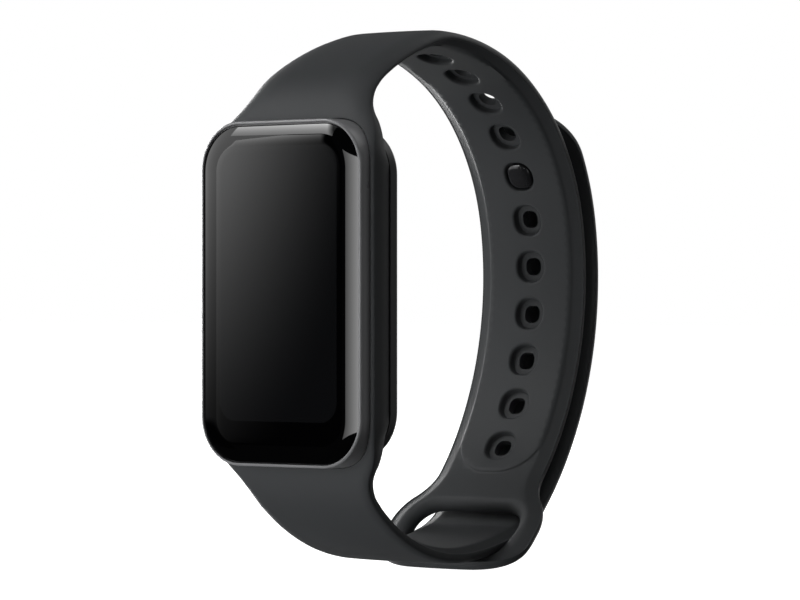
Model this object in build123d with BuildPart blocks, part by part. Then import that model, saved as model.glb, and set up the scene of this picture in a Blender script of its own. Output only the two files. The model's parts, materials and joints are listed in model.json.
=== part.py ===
"""Fitness tracker band: a slim tracker held in a one-piece moulded strap, fastened as it is on a wrist.

X runs along the wrist. The glass of the tracker faces -Y and +Z runs up along the tracker's long side.
The origin is the centre of the space for the wrist. Lengths are millimetres, angles degrees.
"""
import os
from math import cos, degrees, hypot, radians, sin, tan

from build123d import *

# ---------------------------------------------------------------- driving dimensions
FACE_Y = -31.5                      # front plane of the glass

# tracker outline, seen from the front
BODY_W, BODY_H, BODY_R = 25.4, 42.8, 6.0
GLASS_INSET = 0.45                  # glass edge inside the housing's outline
FLANGE_W, FLANGE_H = 26.9, 41.0     # rear cover's flange
BULGE_W, BULGE_H, BULGE_R = 21.0, 34.0, 6.5
BULGE_TAPER = 15.0
BULGE_WALL = 1.3
GLASS_EDGE_R, RIM_R, FLANGE_EDGE_R, BULGE_EDGE_R = 0.55, 0.3, 0.6, 0.8

# tracker depths, measured back from the front plane of the glass
GLASS_T = 0.8
LEDGE_FRONT, LEDGE_BACK = 1.0, 1.6  # shelf that carries the glass
HOUSING_FRONT, HOUSING_BACK = 0.4, 5.1
FLANGE_FRONT, FLANGE_BACK = 5.4, 7.1
BULGE_BACK = 9.9
SENSOR_BACK = 9.99
COVER_WALL = 1.0
COVER_RECESS = 0.5                  # shallow pocket in the flange, level with the housing's cavity
CAVITY_W, CAVITY_H, CAVITY_R = 22.6, 38.6, 4.6

# strap
ARM_T = 2.1                         # perforated arm
TAIL_T = 2.2                        # lower arm and tail
TAIL_GAP = 0.7                      # between the perforated arm and the tail outside it
FRAME_W, FRAME_H, FRAME_R = 26.8, 44.2, 6.7   # frame round the tracker
FRAME_FRONT, FRAME_BACK = 2.05, 5.3
FRAME_CLEARANCE = 0.1               # between the tracker's side wall and the frame
CREST_HALF = 8.9                    # half widths of the strap
ARM_HALF = 8.3
LOOP_HALF = 12.0
LOOP_CORNER = 7.5                   # radius of the loop's far corners
SLOT_HALF = 8.6

# side profile of the strap: outer face, starting beside the tracker's corner
ROOT_Y, ROOT_Z, ROOT_HEADING = 2.1, 17.45, 67.0
LINE = None                         # a piece of a path with no radius is straight
ROOT_PIECE = (LINE, 4.85)
ARM_PIECES = [ROOT_PIECE, (13.5, 37), (46, 17), (11, 15), (35.2, 24.5), (28.4, 53.5), (41.5, 53.5), (LINE, 10.2),
              (6.6, 43.3), (LINE, 0.9)]
LOWER_PIECES = [ROOT_PIECE, (14.4, 26), (29.7, 45), (52.6, 12)]
STRAIGHT = 7                        # which arm piece is the straight one that carries the slot

# perforations
HOLE_COUNT = 11
HOLE_PITCH = 6.6                    # along the outer face
HOLE_W, HOLE_R = 2.4, 0.95          # through hole, rounded square
RECESS_W, RECESS_R, RECESS_DEPTH = 4.3, 1.7, 0.8
LAST_HOLE_TO_STRAIGHT = 6.6         # from the last hole's centre to the straight piece
STUD_HOLE = 4                       # counted from the tracker, the first hole is 0

# lengths that only have to pass right through what they cut
THROUGH = 60.0


# ---------------------------------------------------------------- paths in the YZ plane
def make_path(y, z, heading, pieces, turn):
    """List the pieces of a tangent chain: start point, heading, signed radius (or LINE), length."""
    path = []
    for radius, size in pieces:
        h = radians(heading)
        if radius is LINE:
            path.append((y, z, heading, LINE, size))
            y += size * cos(h)
            z += size * sin(h)
            continue
        path.append((y, z, heading, turn * radius, radius * radians(size)))
        new = radians(heading + turn * size)
        y += turn * radius * (sin(new) - sin(h))
        z -= turn * radius * (cos(new) - cos(h))
        heading += turn * size
    return path


def path_length(path, count=None):
    return sum(piece[4] for piece in path[:count])


def station(path, s, inward, depth=0.0):
    """Point and heading at distance s along the path, depth inside it. inward is +1 where inside is left."""
    for index, (y, z, heading, radius, length) in enumerate(path):
        if s <= length + 1e-9 or index == len(path) - 1:
            break
        s -= length
    h = radians(heading)
    if radius is LINE:
        y, z, new = y + s * cos(h), z + s * sin(h), h
    else:
        new = h + s / radius
        y, z = y + radius * (sin(new) - sin(h)), z - radius * (cos(new) - cos(h))
    return y - inward * depth * sin(new), z + inward * depth * cos(new), new


def breaks(path, s0, s1):
    """Distances from s0 to s1 at which the outline changes its curve."""
    marks = [s0]
    total = 0.0
    for piece in path:
        total += piece[4]
        if s0 + 0.01 < total < s1 - 0.01:
            marks.append(total)
    return marks + [s1]


def run_along(path, inward, marks, depth):
    """Draw the path's offset curve between the marks, one arc or line for each piece."""
    for a, b in zip(marks, marks[1:]):
        ends = [station(path, s, inward, depth) for s in (a, (a + b) / 2, b)]
        first, middle, last = [(FACE_Y + p[0], p[1]) for p in ends]
        if abs(ends[0][2] - ends[2][2]) < 1e-6:
            Line(first, last)
        else:
            ThreePointArc(first, middle, last)


def strip(path, inward, s0, s1, outer, inner):
    """Draw the closed side outline of a strap between two depths and two stations."""
    marks = breaks(path, s0, s1)
    with BuildLine() as outline:
        run_along(path, inward, marks, outer)
        run_along(path, inward, marks, inner)
        for s in (s0, s1):
            ends = [station(path, s, inward, depth) for depth in (outer, inner)]
            Line(*[(FACE_Y + p[0], p[1]) for p in ends])
    make_face(outline.edges())


def plane_on(path, inward, s, depth=0.0):
    """Plane tangent to the strap: y along the path, z towards the wrist."""
    y, z, heading = station(path, s, inward, depth)
    c, n = cos(heading), sin(heading)
    return Plane(origin=(0, FACE_Y + y, z), x_dir=(inward, 0, 0), z_dir=(0, -inward * n, inward * c))


def fillet_line(path, target, target_heading):
    """Radius and angle of the one arc that joins a path's end to a line, tangent to both."""
    y, z, h = station(path, path_length(path), 1)
    ty, tz = target
    t = radians(target_heading)
    run = ((ty - y) * sin(t) - (tz - z) * cos(t)) / (cos(h) * sin(t) - sin(h) * cos(t))
    angle = target_heading - degrees(h)
    return run / tan(radians(angle) / 2), angle


ARM = make_path(ROOT_Y, ROOT_Z, ROOT_HEADING, ARM_PIECES, -1)
IN_ARM = -1                                         # the wrist is on the right of the arm's path
ARM_END = path_length(ARM)
CREST_S = path_length(ARM, 4) + 4.0
STRAIGHT_S = path_length(ARM, STRAIGHT)

LOWER = make_path(ROOT_Y, -ROOT_Z, -ROOT_HEADING, LOWER_PIECES, 1)
IN_LOWER = 1
tail_line = station(ARM, STRAIGHT_S, IN_ARM, -TAIL_GAP - TAIL_T)
JOIN_R, JOIN_ANGLE = fillet_line(LOWER, tail_line[:2], ARM[STRAIGHT][2] + 180)
LOWER = make_path(ROOT_Y, -ROOT_Z, -ROOT_HEADING, LOWER_PIECES + [(JOIN_R, JOIN_ANGLE)], 1)
LOWER_END = path_length(LOWER)
LOWER_CREST_S = path_length(LOWER, 3) - 2.0

join = station(LOWER, LOWER_END, IN_LOWER)
JOIN_BACK = hypot(tail_line[0] - join[0], tail_line[1] - join[1])
TAIL_START_S = STRAIGHT_S + JOIN_BACK               # along the arm's path, where the tail begins
TAIL_SPLIT_S = path_length(ARM, 6) + 16.0           # where the tail's two parts meet
TAIL_TIP_S = path_length(ARM, 5) + 11.0
HOLES = [STRAIGHT_S - LAST_HOLE_TO_STRAIGHT - HOLE_PITCH * k for k in reversed(range(HOLE_COUNT))]


# ---------------------------------------------------------------- shared helpers
def at_depth(t):
    """Plane facing the wrist at a depth behind the front of the glass: x is X mirrored, y is Z."""
    return Plane(origin=(0, FACE_Y + t, 0), x_dir=(-1, 0, 0), z_dir=(0, 1, 0))


def plane_to_axis(plane):
    return Axis(plane.origin, plane.z_dir)


def finish(part, name):
    part.label = name
    export_step(part, "parts/" + name + ".step")


os.makedirs("parts", exist_ok=True)

# ---------------------------------------------------------------- strap with its frame and loop
SHOULDER_Z = 15.5                    # where the frame's straight side ends
SHOULDER_TURN = 38.0
SHOULDER_OUT_R, SHOULDER_IN_R = 11.0, 8.0
SHOULDER_TIP_Z = 36.5                # beyond the crest, where the outline may stop


def shoulder_outline(up):
    """Front outline of the strap above (up=1) or below (up=-1) the tracker, narrowing into the arm."""
    a = radians(SHOULDER_TURN)
    half = FRAME_W / 2
    mid = (half - SHOULDER_OUT_R * (1 - cos(a)), SHOULDER_Z + SHOULDER_OUT_R * sin(a))
    end = (mid[0] - SHOULDER_IN_R * (1 - cos(a)), mid[1] + SHOULDER_IN_R * sin(a))
    tip = (CREST_HALF, SHOULDER_TIP_Z)
    with BuildLine() as outline:
        for side in (1, -1):
            start = (side * half, up * SHOULDER_Z)
            middle = (side * mid[0], up * mid[1])
            last = (side * end[0], up * end[1])
            Line((side * half, 0), start)
            TangentArc(start, middle, tangent=(0, up))
            TangentArc(last, middle, tangent=(0, -up))
            Line(last, (side * tip[0], up * tip[1]))
        Line((-half, 0), (half, 0))
        Line((-tip[0], up * tip[1]), (tip[0], up * tip[1]))
    make_face(outline.edges())


GROW_START, GROW_END = -2.4, 7.0      # where the arm widens into the loop, from the straight's start
LOOP_LEAD = 3.0                      # loop body ahead of the straight piece


def loop_outline():
    """Outline of the loop seen square to the strap: an S on each side into a wide rounded end."""
    grow = LOOP_HALF - ARM_HALF
    far = loop_reach()
    corner = LOOP_CORNER
    with BuildLine() as outline:
        for side in (1, -1):
            start = (side * ARM_HALF, GROW_START)
            middle = (side * (ARM_HALF + grow / 2), (GROW_START + GROW_END) / 2)
            end = (side * LOOP_HALF, GROW_END)
            Line((side * ARM_HALF, -LOOP_LEAD), start)
            TangentArc(start, middle, tangent=(0, 1))
            TangentArc(end, middle, tangent=(0, -1))
            Line(end, (side * LOOP_HALF, far - corner))
            TangentArc((side * LOOP_HALF, far - corner), (side * (LOOP_HALF - corner), far), tangent=(0, 1))
        Line((-ARM_HALF, -LOOP_LEAD), (ARM_HALF, -LOOP_LEAD))
        Line((corner - LOOP_HALF, far), (LOOP_HALF - corner, far))
    make_face(outline.edges())


def loop_reach():
    """Distance of the loop's end from the start of the straight piece, along the straight."""
    y0, z0, h = station(ARM, STRAIGHT_S, IN_ARM)
    y1, z1, _ = station(ARM, ARM_END, IN_ARM)
    return (y1 - y0) * cos(h) + (z1 - z0) * sin(h)


with BuildPart() as arm_shoulder:
    with BuildSketch(Plane.YZ):
        strip(ARM, IN_ARM, 0, CREST_S, 0, ARM_T)
    extrude(amount=FRAME_W / 2, both=True)
    with BuildSketch(Plane.XZ):
        shoulder_outline(1)
    extrude(amount=THROUGH, both=True, mode=Mode.INTERSECT)

with BuildPart() as lower_shoulder:
    with BuildSketch(Plane.YZ):
        strip(LOWER, IN_LOWER, 0, LOWER_CREST_S, 0, TAIL_T)
    extrude(amount=FRAME_W / 2, both=True)
    with BuildSketch(Plane.XZ):
        shoulder_outline(-1)
    extrude(amount=THROUGH, both=True, mode=Mode.INTERSECT)

ARM_NARROW_Y = FACE_Y + 45           # from here back the strap has one width
BEHIND_Y = 40                        # behind the whole strap


def narrowing(path, inward, s):
    """Top outline of the strap behind its crest: a slight taper to the constant width."""
    y0 = FACE_Y + station(path, s, inward)[0] - 1.0
    with BuildLine() as outline:
        Polyline((CREST_HALF, y0), (ARM_HALF, ARM_NARROW_Y), (ARM_HALF, BEHIND_Y), (-ARM_HALF, BEHIND_Y),
                 (-ARM_HALF, ARM_NARROW_Y), (-CREST_HALF, y0), close=True)
    make_face(outline.edges())


with BuildPart() as arm_back:
    with BuildSketch(Plane.YZ):
        strip(ARM, IN_ARM, CREST_S, STRAIGHT_S, 0, ARM_T)
    extrude(amount=CREST_HALF, both=True)
    with BuildSketch(Plane.XY):
        narrowing(ARM, IN_ARM, CREST_S)
    extrude(amount=THROUGH, both=True, mode=Mode.INTERSECT)

with BuildPart() as lower_back:
    with BuildSketch(Plane.YZ):
        strip(LOWER, IN_LOWER, LOWER_CREST_S, LOWER_END, 0, TAIL_T)
    extrude(amount=CREST_HALF, both=True)
    with BuildSketch(Plane.XY):
        narrowing(LOWER, IN_LOWER, LOWER_CREST_S)
    extrude(amount=THROUGH, both=True, mode=Mode.INTERSECT)

SLOT_START, SLOT_END, SLOT_R = 3.4, 12.1, 2.8        # along the straight, from its start

with BuildPart() as loop:
    with BuildSketch(Plane.YZ):
        strip(ARM, IN_ARM, STRAIGHT_S - LOOP_LEAD, ARM_END, 0, ARM_T)
    extrude(amount=LOOP_HALF, both=True)
    with BuildSketch(plane_on(ARM, IN_ARM, STRAIGHT_S)):
        loop_outline()
    extrude(amount=THROUGH, both=True, mode=Mode.INTERSECT)
    with BuildSketch(plane_on(ARM, IN_ARM, STRAIGHT_S)):
        with Locations((0, (SLOT_START + SLOT_END) / 2)):
            RectangleRounded(2 * SLOT_HALF, SLOT_END - SLOT_START, SLOT_R)
    extrude(amount=THROUGH, both=True, mode=Mode.SUBTRACT)
    with BuildSketch(Plane.YZ):
        strip(LOWER, IN_LOWER, LOWER_CREST_S - 2, LOWER_END, -TAIL_GAP, TAIL_T + TAIL_GAP)
    extrude(amount=SLOT_HALF, both=True, mode=Mode.SUBTRACT)

with BuildPart() as strap:
    with BuildSketch(at_depth(FRAME_FRONT)):
        RectangleRounded(FRAME_W, FRAME_H, FRAME_R)
    extrude(amount=FRAME_BACK - FRAME_FRONT)
    add([arm_shoulder.part, lower_shoulder.part])
    with BuildSketch(at_depth(0)):
        RectangleRounded(BODY_W + 2 * FRAME_CLEARANCE, BODY_H + 2 * FRAME_CLEARANCE, BODY_R + FRAME_CLEARANCE)
    extrude(amount=THROUGH / 2, mode=Mode.SUBTRACT)
    add([arm_back.part, lower_back.part, loop.part])
    for s in HOLES:
        with BuildSketch(plane_on(ARM, IN_ARM, s)):
            RectangleRounded(HOLE_W, HOLE_W, HOLE_R)
        extrude(amount=5, both=True, mode=Mode.SUBTRACT)
        with BuildSketch(plane_on(ARM, IN_ARM, s, ARM_T - RECESS_DEPTH)):
            RectangleRounded(RECESS_W, RECESS_W, RECESS_R)
        extrude(amount=5, mode=Mode.SUBTRACT)
finish(strap.part, "strap")

# ---------------------------------------------------------------- free tail, outside the perforated arm
TAIL_JOINT_GAP = 0.02                # between the tail's parts at their hinge lines
TIP_R = 7.6                          # round end of the tail
TAIL_OUT, TAIL_IN = -TAIL_GAP - TAIL_T, -TAIL_GAP
STUD_S = HOLES[STUD_HOLE]
BASE_W, BASE_T, BASE_R = 6.4, 0.8, 1.6

with BuildPart() as strap_tail:
    with BuildSketch(Plane.YZ):
        strip(ARM, IN_ARM, TAIL_SPLIT_S + TAIL_JOINT_GAP, TAIL_START_S - TAIL_JOINT_GAP, TAIL_OUT, TAIL_IN)
    extrude(amount=ARM_HALF, both=True)
finish(strap_tail.part, "strap_tail")

with BuildPart() as strap_tail_end:
    with BuildSketch(Plane.YZ):
        strip(ARM, IN_ARM, TAIL_TIP_S, TAIL_SPLIT_S - TAIL_JOINT_GAP, TAIL_OUT, TAIL_IN)
    extrude(amount=ARM_HALF, both=True)
    with BuildSketch(plane_on(ARM, IN_ARM, TAIL_TIP_S)):
        with Locations((0, 30)):
            RectangleRounded(2 * ARM_HALF, 60, TIP_R)
    extrude(amount=THROUGH, both=True, mode=Mode.INTERSECT)
    with BuildSketch(plane_on(ARM, IN_ARM, STUD_S, TAIL_IN - BASE_T)):
        RectangleRounded(BASE_W, BASE_W, BASE_R)
    extrude(amount=BASE_T + 0.4, mode=Mode.SUBTRACT)
finish(strap_tail_end.part, "strap_tail_end")

# ---------------------------------------------------------------- fastening stud
NECK_W, NECK_R = 2.1, 0.8
HEAD_W, HEAD_R, HEAD_T = 3.7, 1.5, 1.0
HEAD_CLEARANCE = 0.1                 # over the recess's floor
HEAD_FLOOR = ARM_T - RECESS_DEPTH + HEAD_CLEARANCE

with BuildPart() as stud_base:
    with BuildSketch(plane_on(ARM, IN_ARM, STUD_S, TAIL_IN - BASE_T)):
        RectangleRounded(BASE_W, BASE_W, BASE_R)
    extrude(amount=BASE_T)
finish(stud_base.part, "stud_base")

with BuildPart() as stud_button:
    with BuildSketch(plane_on(ARM, IN_ARM, STUD_S, TAIL_IN)):
        RectangleRounded(NECK_W, NECK_W, NECK_R)
    extrude(amount=HEAD_FLOOR - TAIL_IN)
    with BuildSketch(plane_on(ARM, IN_ARM, STUD_S, HEAD_FLOOR)):
        RectangleRounded(HEAD_W, HEAD_W, HEAD_R)
    extrude(amount=HEAD_T)
    top = stud_button.faces().sort_by(plane_to_axis(plane_on(ARM, IN_ARM, STUD_S)))[-1]
    fillet(top.edges(), HEAD_T * 0.7)
finish(stud_button.part, "stud_button")

# ---------------------------------------------------------------- tracker: glass, housing, rear cover
GLASS_W, GLASS_H, GLASS_R = BODY_W - 2 * GLASS_INSET, BODY_H - 2 * GLASS_INSET, BODY_R - GLASS_INSET
SEAT_W, SEAT_H, SEAT_R = GLASS_W + 0.2, GLASS_H + 0.2, GLASS_R + 0.1
WINDOW_W, WINDOW_H, WINDOW_R = 20.6, 37.2, 3.5       # opening in the ledge, for the display

with BuildPart() as cover_glass:
    with BuildSketch(at_depth(0)):
        RectangleRounded(GLASS_W, GLASS_H, GLASS_R)
    extrude(amount=GLASS_T)
    front = cover_glass.faces().sort_by(Axis.Y)[0]
    fillet(front.edges(), GLASS_EDGE_R)
finish(cover_glass.part, "cover_glass")

with BuildPart() as glass_gasket:
    with BuildSketch(at_depth(GLASS_T)):
        RectangleRounded(GLASS_W - 0.3, GLASS_H - 0.3, GLASS_R - 0.15)
        RectangleRounded(WINDOW_W + 0.6, WINDOW_H + 0.6, WINDOW_R + 0.3, mode=Mode.SUBTRACT)
    extrude(amount=LEDGE_FRONT - GLASS_T)
finish(glass_gasket.part, "glass_gasket")

with BuildPart() as housing:
    with BuildSketch(at_depth(HOUSING_FRONT)):
        RectangleRounded(BODY_W, BODY_H, BODY_R)
    extrude(amount=HOUSING_BACK - HOUSING_FRONT)
    rim = housing.faces().sort_by(Axis.Y)[0]
    fillet(rim.edges(), RIM_R)
    with BuildSketch(at_depth(HOUSING_FRONT)):
        RectangleRounded(SEAT_W, SEAT_H, SEAT_R)
    extrude(amount=LEDGE_FRONT - HOUSING_FRONT, mode=Mode.SUBTRACT)
    with BuildSketch(at_depth(LEDGE_FRONT)):
        RectangleRounded(WINDOW_W, WINDOW_H, WINDOW_R)
    extrude(amount=LEDGE_BACK - LEDGE_FRONT, mode=Mode.SUBTRACT)
    with BuildSketch(at_depth(LEDGE_BACK)):
        RectangleRounded(CAVITY_W, CAVITY_H, CAVITY_R)
    extrude(amount=HOUSING_BACK - LEDGE_BACK, mode=Mode.SUBTRACT)
finish(housing.part, "housing")

with BuildPart() as rear_seal:
    with BuildSketch(at_depth(HOUSING_BACK)):
        RectangleRounded(CAVITY_W + 1.8, CAVITY_H + 1.8, CAVITY_R + 0.9)
        RectangleRounded(CAVITY_W + 0.4, CAVITY_H + 0.4, CAVITY_R + 0.2, mode=Mode.SUBTRACT)
    extrude(amount=FLANGE_FRONT - HOUSING_BACK)
finish(rear_seal.part, "rear_seal")

SENSOR_WINDOW_W, SENSOR_WINDOW_H, SENSOR_WINDOW_R = 11.0, 12.0, 3.0
SENSOR_WINDOW_Z = 3.0
CONTACT_X, CONTACT_Z, CONTACT_R = 3.3, -12.2, 1.3
SEAL_R = 1.7
CONTACT_TAIL = 0.4                  # contact that shows inside the cover
BULGE_INNER_BACK = BULGE_BACK - COVER_WALL
CONTACTS = [(-CONTACT_X, CONTACT_Z), (CONTACT_X, CONTACT_Z)]

with BuildPart() as rear_cover:
    with BuildSketch(at_depth(FLANGE_FRONT)):
        RectangleRounded(FLANGE_W, FLANGE_H, BODY_R)
    extrude(amount=FLANGE_BACK - FLANGE_FRONT)
    flange_back = rear_cover.faces().sort_by(Axis.Y)[-1]
    fillet(flange_back.edges(), FLANGE_EDGE_R)
    with BuildSketch(at_depth(FLANGE_BACK)):
        RectangleRounded(BULGE_W, BULGE_H, BULGE_R)
    extrude(amount=BULGE_BACK - FLANGE_BACK, taper=BULGE_TAPER)
    back = rear_cover.faces().sort_by(Axis.Y)[-1]
    fillet(back.edges(), BULGE_EDGE_R)
    with BuildSketch(at_depth(FLANGE_FRONT)):
        RectangleRounded(CAVITY_W, CAVITY_H, CAVITY_R)
    extrude(amount=COVER_RECESS, mode=Mode.SUBTRACT)
    with BuildSketch(at_depth(FLANGE_FRONT)):
        RectangleRounded(BULGE_W - 2 * BULGE_WALL, BULGE_H - 2 * BULGE_WALL, BULGE_R - BULGE_WALL)
    extrude(amount=BULGE_INNER_BACK - FLANGE_FRONT, mode=Mode.SUBTRACT)
    with BuildSketch(at_depth(BULGE_INNER_BACK)):
        with Locations((0, SENSOR_WINDOW_Z)):
            RectangleRounded(SENSOR_WINDOW_W, SENSOR_WINDOW_H, SENSOR_WINDOW_R)
        with Locations(*CONTACTS):
            Circle(SEAL_R)
    extrude(amount=2, mode=Mode.SUBTRACT)
finish(rear_cover.part, "rear_cover")

with BuildPart() as sensor_window:
    with BuildSketch(at_depth(BULGE_INNER_BACK)):
        with Locations((0, SENSOR_WINDOW_Z)):
            RectangleRounded(SENSOR_WINDOW_W - 0.06, SENSOR_WINDOW_H - 0.06, SENSOR_WINDOW_R - 0.03)
    extrude(amount=SENSOR_BACK - BULGE_INNER_BACK)
    lens_back = sensor_window.faces().sort_by(Axis.Y)[-1]
    fillet(lens_back.edges(), 0.3)
finish(sensor_window.part, "sensor_window")

with BuildPart() as contact_seals:
    with BuildSketch(at_depth(BULGE_INNER_BACK)):
        with Locations(*CONTACTS):
            Circle(SEAL_R)
            Circle(CONTACT_R, mode=Mode.SUBTRACT)
    extrude(amount=BULGE_BACK - BULGE_INNER_BACK - 0.05)
finish(contact_seals.part, "contact_seals")

with BuildPart() as charging_contacts:
    with BuildSketch(at_depth(BULGE_INNER_BACK - CONTACT_TAIL)):
        with Locations(*CONTACTS):
            Circle(CONTACT_R)
    extrude(amount=BULGE_BACK - BULGE_INNER_BACK + CONTACT_TAIL)
    caps = charging_contacts.faces().filter_by(Axis.Y).group_by(Axis.Y)[-1]
    fillet(caps.edges(), 0.25)
finish(charging_contacts.part, "charging_contacts")

# ---------------------------------------------------------------- tracker: what the case holds
DISPLAY_W, DISPLAY_H, DISPLAY_T = 19.4, 36.0, 1.1
DISPLAY_BACK = GLASS_T + DISPLAY_T
BRACKET_FRONT, BRACKET_T = 2.2, 0.5
BRACKET_BACK = BRACKET_FRONT + BRACKET_T
BATTERY_W, BATTERY_H, BATTERY_T, BATTERY_Z = 15.6, 21.6, 3.2, 3.0
BATTERY_FRONT = 2.95
BATTERY_BACK = BATTERY_FRONT + BATTERY_T
BOARD_FRONT, BOARD_T = 2.9, 0.6
BOARD_BACK = BOARD_FRONT + BOARD_T
BOARD_W, BOARD_TOP, BOARD_BOTTOM = 19.0, -9.0, -18.6
BOARD_Z = (BOARD_TOP + BOARD_BOTTOM) / 2


def block(t, depth, width, height, x=0.0, z=0.0, radius=0.3):
    """One rounded block: depth t behind the glass, centred at X and Z. Planes here face the wrist."""
    with BuildPart() as made:
        with BuildSketch(at_depth(t)):
            with Locations((-x, z)):
                RectangleRounded(width, height, radius)
        extrude(amount=depth)
    return made.part


finish(block(GLASS_T, DISPLAY_T, DISPLAY_W, DISPLAY_H, radius=2.6), "display_panel")

with BuildPart() as display_flex:
    with BuildSketch(Plane.YZ):
        with BuildLine():
            FilletPolyline((FACE_Y + DISPLAY_BACK, -13.0), (FACE_Y + DISPLAY_BACK, -19.1),
                           (FACE_Y + BOARD_BACK + 0.9, -19.1), (FACE_Y + BOARD_BACK + 0.9, -16.6),
                           (FACE_Y + BOARD_BACK + 0.75, -16.6), (FACE_Y + BOARD_BACK + 0.75, -18.95),
                           (FACE_Y + DISPLAY_BACK + 0.15, -18.95), (FACE_Y + DISPLAY_BACK + 0.15, -13.0),
                           radius=0.04, close=True)
        make_face()
    extrude(amount=3.5, both=True)
finish(display_flex.part, "display_flex")

with BuildPart() as inner_bracket:
    with BuildSketch(at_depth(BRACKET_FRONT)):
        RectangleRounded(CAVITY_W - 0.3, CAVITY_H - 0.3, CAVITY_R - 0.15)
        with Locations((0, BATTERY_Z)):
            RectangleRounded(10, 14, 2, mode=Mode.SUBTRACT)
        with Locations((0, -18.6)):
            Rectangle(9, 3, mode=Mode.SUBTRACT)
    extrude(amount=BRACKET_T)
    with BuildSketch(at_depth(BRACKET_BACK)):
        with Locations((0, BATTERY_Z)):
            RectangleRounded(BATTERY_W + 2.0, BATTERY_H + 1.4, 1.2)
            RectangleRounded(BATTERY_W + 0.4, BATTERY_H + 0.4, 0.8, mode=Mode.SUBTRACT)
    extrude(amount=1.2)
finish(inner_bracket.part, "inner_bracket")

finish(block(BATTERY_FRONT, BATTERY_T, BATTERY_W, BATTERY_H, z=BATTERY_Z, radius=1.0), "battery")
finish(block(BATTERY_BACK, 0.4, 12.0, 18.0, z=BATTERY_Z, radius=1.0), "battery_foam")

BOARD_SCREWS = [(-8.3, BOARD_TOP - 1.3), (8.3, BOARD_TOP - 1.3), (-8.0, BOARD_BOTTOM + 1.9)]
SCREW_R, SCREW_HEAD_R = 0.5, 0.9

with BuildPart() as main_board:
    with BuildSketch(at_depth(BOARD_FRONT)):
        with Locations((0, BOARD_Z)):
            RectangleRounded(BOARD_W, BOARD_TOP - BOARD_BOTTOM, 1.5)
        with Locations(*BOARD_SCREWS):
            Circle(SCREW_R + 0.05, mode=Mode.SUBTRACT)
    extrude(amount=BOARD_T)
finish(main_board.part, "main_board")

with BuildPart() as board_screws:
    with BuildSketch(at_depth(BRACKET_BACK)):
        with Locations(*BOARD_SCREWS):
            Circle(SCREW_R)
    extrude(amount=BOARD_BACK - BRACKET_BACK)
    with BuildSketch(at_depth(BOARD_BACK)):
        with Locations(*BOARD_SCREWS):
            Circle(SCREW_HEAD_R)
    extrude(amount=0.4)
finish(board_screws.part, "board_screws")

finish(block(BOARD_BACK, 0.7, 6.4, 3.4, x=-3.4, z=-11.1, radius=0.3), "shield_can")
finish(block(BOARD_BACK, 0.5, 2.6, 2.2, x=2.2, z=-11.0, radius=0.1), "motion_sensor")
finish(block(BOARD_BACK, 0.5, 2.0, 2.0, x=5.4, z=-11.0, radius=0.1), "charger_chip")
finish(block(BOARD_BACK, 0.75, 6.6, 1.8, z=-17.6, radius=0.2), "display_connector")
finish(block(3.0, 1.8, 16.0, 1.0, z=17.6, radius=0.3), "antenna_strip")
finish(block(BATTERY_FRONT + 1.2, 0.3, 5.0, 2.6, x=4.6, z=BATTERY_Z - BATTERY_H / 2 - 1.3, radius=0.2),
       "battery_tab")

# vibration motor: a slim can across the case, with a half-round weight on its shaft
MOTOR_R, MOTOR_LENGTH = 2.0, 6.6
MOTOR_T, MOTOR_Z = 6.35, -12.1
MOTOR_START = -7.2
WEIGHT_R, WEIGHT_LENGTH, SHAFT_R = 1.85, 2.6, 0.35
WEIGHT_GAP = 0.4
MOTOR_CAP = 0.5
motor_plane = Plane(origin=(MOTOR_START, FACE_Y + MOTOR_T, MOTOR_Z), x_dir=(0, 1, 0), z_dir=(1, 0, 0))
WEIGHT_START = MOTOR_CAP + MOTOR_LENGTH + WEIGHT_GAP

with BuildPart() as motor_cap:
    with BuildSketch(motor_plane):
        Circle(MOTOR_R - 0.1)
    extrude(amount=MOTOR_CAP)
finish(motor_cap.part, "motor_cap")

with BuildPart() as motor_case:
    with BuildSketch(motor_plane.offset(MOTOR_CAP)):
        Circle(MOTOR_R)
    extrude(amount=MOTOR_LENGTH)
    with BuildSketch(motor_plane.offset(MOTOR_CAP + MOTOR_LENGTH)):
        Circle(SHAFT_R + 0.1)
    extrude(amount=-3, mode=Mode.SUBTRACT)
finish(motor_case.part, "motor_case")

with BuildPart() as motor_shaft:
    with BuildSketch(motor_plane.offset(MOTOR_CAP + MOTOR_LENGTH - 2.8)):
        Circle(SHAFT_R)
    extrude(amount=2.8 + WEIGHT_GAP + WEIGHT_LENGTH)
finish(motor_shaft.part, "motor_shaft")

with BuildPart() as motor_weight:
    with BuildSketch(motor_plane.offset(WEIGHT_START)):
        Circle(WEIGHT_R)
        with Locations((0, WEIGHT_R + 0.75)):
            Rectangle(2 * WEIGHT_R, 2 * WEIGHT_R, mode=Mode.SUBTRACT)
        Circle(SHAFT_R, mode=Mode.SUBTRACT)
    extrude(amount=WEIGHT_LENGTH)
finish(motor_weight.part, "motor_weight")

# heart rate sensor: a small board behind the window, two lights, two eyes and a wall between them
SENSOR_BOARD_T = 0.5
LIGHT_T = 0.6
SENSOR_BOARD_FRONT = BULGE_INNER_BACK - 0.15 - LIGHT_T - SENSOR_BOARD_T
SENSOR_PARTS_FRONT = SENSOR_BOARD_FRONT + SENSOR_BOARD_T
finish(block(SENSOR_BOARD_FRONT, SENSOR_BOARD_T, 11.0, 12.4, z=SENSOR_WINDOW_Z, radius=1.5), "sensor_board")

with BuildPart() as sensor_lights:
    with BuildSketch(at_depth(SENSOR_PARTS_FRONT)):
        with Locations((0, SENSOR_WINDOW_Z)):
            with GridLocations(0, 2.4, 1, 2):
                RectangleRounded(1.4, 1.4, 0.2)
    extrude(amount=LIGHT_T)
finish(sensor_lights.part, "sensor_lights")

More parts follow.
